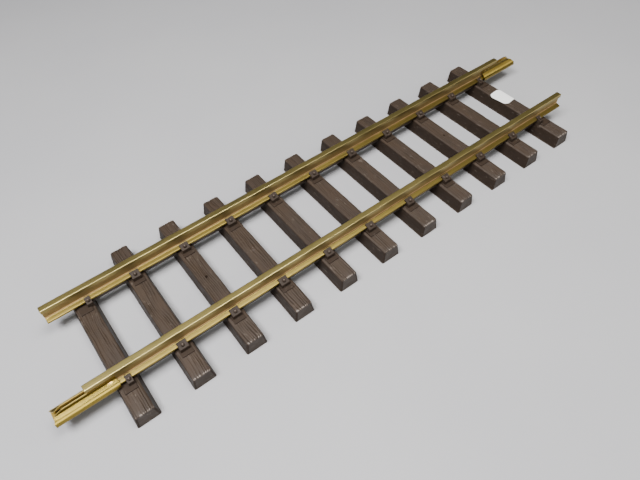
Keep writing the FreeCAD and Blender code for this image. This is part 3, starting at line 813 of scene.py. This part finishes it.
def label_paper():
    """White glazed paper with a faint fibre and a trace of yellow in places."""
    material, nodes, links, shader = new_material("label_paper")
    fibre = noise(nodes, links, object_place(nodes, links, (1.0, 1.0, 1.0)), 1800.0, 5.0, 0.65)
    cloud = noise(nodes, links, object_place(nodes, links, (1.0, 1.0, 1.0)), 160.0, 3.0, 0.5)
    colour = blend(nodes, links, spread(nodes, links, cloud, 0.4, 0.7, 0.0, 0.6), (0.93, 0.93, 0.92), (0.88, 0.875, 0.85))
    links.new(colour, shader.inputs["Base Color"])
    links.new(spread(nodes, links, fibre, 0.3, 0.7, 0.42, 0.6), shader.inputs["Roughness"])
    add_bump(nodes, links, shader, [(fibre, 0.00003, 0.4)])
    return material


def floor_paint():
    """Pale matt studio floor with the faintest cloudiness."""
    material, nodes, links, shader = new_material("floor_paint")
    cloud = noise(nodes, links, object_place(nodes, links, (1.0, 1.0, 1.0)), 9.0, 3.0, 0.5)
    colour = blend(nodes, links, spread(nodes, links, cloud, 0.35, 0.65), (0.405, 0.405, 0.42), (0.425, 0.425, 0.435))
    links.new(colour, shader.inputs["Base Color"])
    shader.inputs["Roughness"].default_value = 0.55
    shader.inputs["Specular IOR Level"].default_value = 0.3
    return material


# ---- studio -----------------------------------------------------------------

CAMERA_TARGET = (-20.77, -11.61, 0.0)
CAMERA_DISTANCE = 283.58
CAMERA_AZIMUTH = math.radians(34.686)
CAMERA_ELEVATION = math.radians(51.381)
CAMERA_ROLL = math.radians(-3.359)
CAMERA_LENS = 30.33


def place_camera():
    """The camera on a line through its target: azimuth is measured from +Y towards +X,
    elevation is how steeply it looks down, and the roll turns it about that line."""
    flat = math.cos(CAMERA_ELEVATION)
    forward = Vector((math.sin(CAMERA_AZIMUTH) * flat, math.cos(CAMERA_AZIMUTH) * flat, -math.sin(CAMERA_ELEVATION)))
    level = Vector((math.cos(CAMERA_AZIMUTH), -math.sin(CAMERA_AZIMUTH), 0.0))
    above = level.cross(forward)
    right = level * math.cos(CAMERA_ROLL) + above * math.sin(CAMERA_ROLL)
    up = above * math.cos(CAMERA_ROLL) - level * math.sin(CAMERA_ROLL)
    place = (Vector(CAMERA_TARGET) - forward * CAMERA_DISTANCE) * MM
    lens = bpy.data.cameras.new("camera")
    lens.lens = CAMERA_LENS
    lens.sensor_width = 36.0
    lens.clip_start = 0.01
    lens.clip_end = 20.0
    camera = bpy.data.objects.new("camera", lens)
    turn = Matrix((right, up, -forward)).transposed().to_4x4()
    camera.matrix_world = Matrix.Translation(place) @ turn
    bpy.context.scene.collection.objects.link(camera)
    bpy.context.scene.camera = camera


def softbox(name, place, size, power, colour):
    """A square lamp that faces the middle of the track."""
    lamp = bpy.data.lights.new(name, "AREA")
    lamp.shape = "RECTANGLE"
    lamp.size, lamp.size_y = size
    lamp.energy = power
    lamp.color = colour
    item = bpy.data.objects.new(name, lamp)
    item.location = place
    item.rotation_euler = (-Vector(place)).to_track_quat("-Z", "Y").to_euler()
    bpy.context.scene.collection.objects.link(item)


def build_studio():
    """Floor, lamps, the room's even light and the camera."""
    side = 3.0
    mesh = bpy.data.meshes.new("studio_floor")
    mesh.from_pydata([(-side, -side, 0), (side, -side, 0), (side, side, 0), (-side, side, 0)], [], [(0, 1, 2, 3)])
    mesh.materials.append(floor_paint())
    floor = bpy.data.objects.new("studio_floor", mesh)
    floor.location.z = -0.00002
    bpy.context.scene.collection.objects.link(floor)
    softbox("lamp_high_left", (-0.34, -0.06, 0.66), (0.33, 0.24), 8.4, (1.0, 0.99, 1.0))
    softbox("lamp_overhead", (0.08, -0.14, 0.68), (0.34, 0.26), 4.8, (1.0, 0.99, 0.97))
    softbox("lamp_front", (-0.22, -0.86, 0.5), (0.7, 0.56), 3.6, (1.0, 0.98, 0.95))
    softbox("lamp_right", (0.95, -0.36, 0.62), (0.6, 0.7), 1.7, (1.0, 0.93, 0.86))
    softbox("lamp_low_left", (-1.05, 0.05, 0.3), (0.5, 0.4), 1.0, (0.98, 0.98, 1.0))
    room = bpy.data.worlds.new("room")
    room.use_nodes = True
    sky = room.node_tree.nodes["Background"]
    sky.inputs["Color"].default_value = (0.62, 0.66, 0.60, 1.0)
    sky.inputs["Strength"].default_value = 0.05
    bpy.context.scene.world = room
    place_camera()


# ---- the track --------------------------------------------------------------


def build_track(frame):
    """Every piece of the track, each in place of its CAD node or as a new finish on it."""
    rail_finish, sheet_finish = rail_brass(), joiner_brass()
    plastic, paper = sleeper_plastic(), label_paper()
    for node in ("rail_near", "rail_far"):
        piece(node + "_drawn", rail_shell(node), node, rail_finish, crease=50)
    low, high = (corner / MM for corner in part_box("rail_near"))
    centre = abs(low.y + high.y) / 2
    for number in range(1, SLEEPER_COUNT + 1):
        node = "sleeper_%02d" % number
        piece(node + "_timber", sleeper_shell(number, node), node, plastic, crease=60)
        low, high = (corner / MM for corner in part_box(node))
        middle, top = (low.x + high.x) / 2, low.z + SLEEPER_HEIGHT
        near_shift, far_shift = END_CLIPS.get(number, (0.0, 0.0))
        clip_width = END_CLIP_WIDTH if number in END_CLIPS else CLIP_WIDTH
        shells = chair_shells(middle, near_shift, clip_width, -centre, top)
        shells += chair_shells(middle, far_shift, clip_width, centre, top)
        piece(node + "_chairs", merged(shells), node, plastic, crease=35, bevel=0.14)
    for node in ("sleeper_links_near", "sleeper_links_far"):
        links = frame["nodes"][node]
        links.data.materials.clear()
        links.data.materials.append(plastic)
    piece("joiner_near_left_sleeve", joiner_shell("joiner_near_left", -1, False, True), "joiner_near_left",
          sheet_finish, crease=50)
    piece("joiner_far_right_sleeve", joiner_shell("joiner_far_right", 1, True, False), "joiner_far_right",
          sheet_finish, crease=50)
    low, high = (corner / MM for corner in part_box("sleeper_11"))
    top_half = (high.x - low.x) / 2 - SIDE_INSET
    piece("blank_label_sheet", label_shell("blank_label", top_half), "blank_label", paper, crease=60)


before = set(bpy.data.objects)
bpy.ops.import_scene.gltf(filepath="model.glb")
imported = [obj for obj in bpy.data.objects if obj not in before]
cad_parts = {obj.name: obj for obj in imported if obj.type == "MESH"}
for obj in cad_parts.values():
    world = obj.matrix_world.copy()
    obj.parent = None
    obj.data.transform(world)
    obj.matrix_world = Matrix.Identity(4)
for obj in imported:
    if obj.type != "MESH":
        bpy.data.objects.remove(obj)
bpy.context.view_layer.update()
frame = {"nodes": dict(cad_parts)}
build_track(frame)
build_studio()
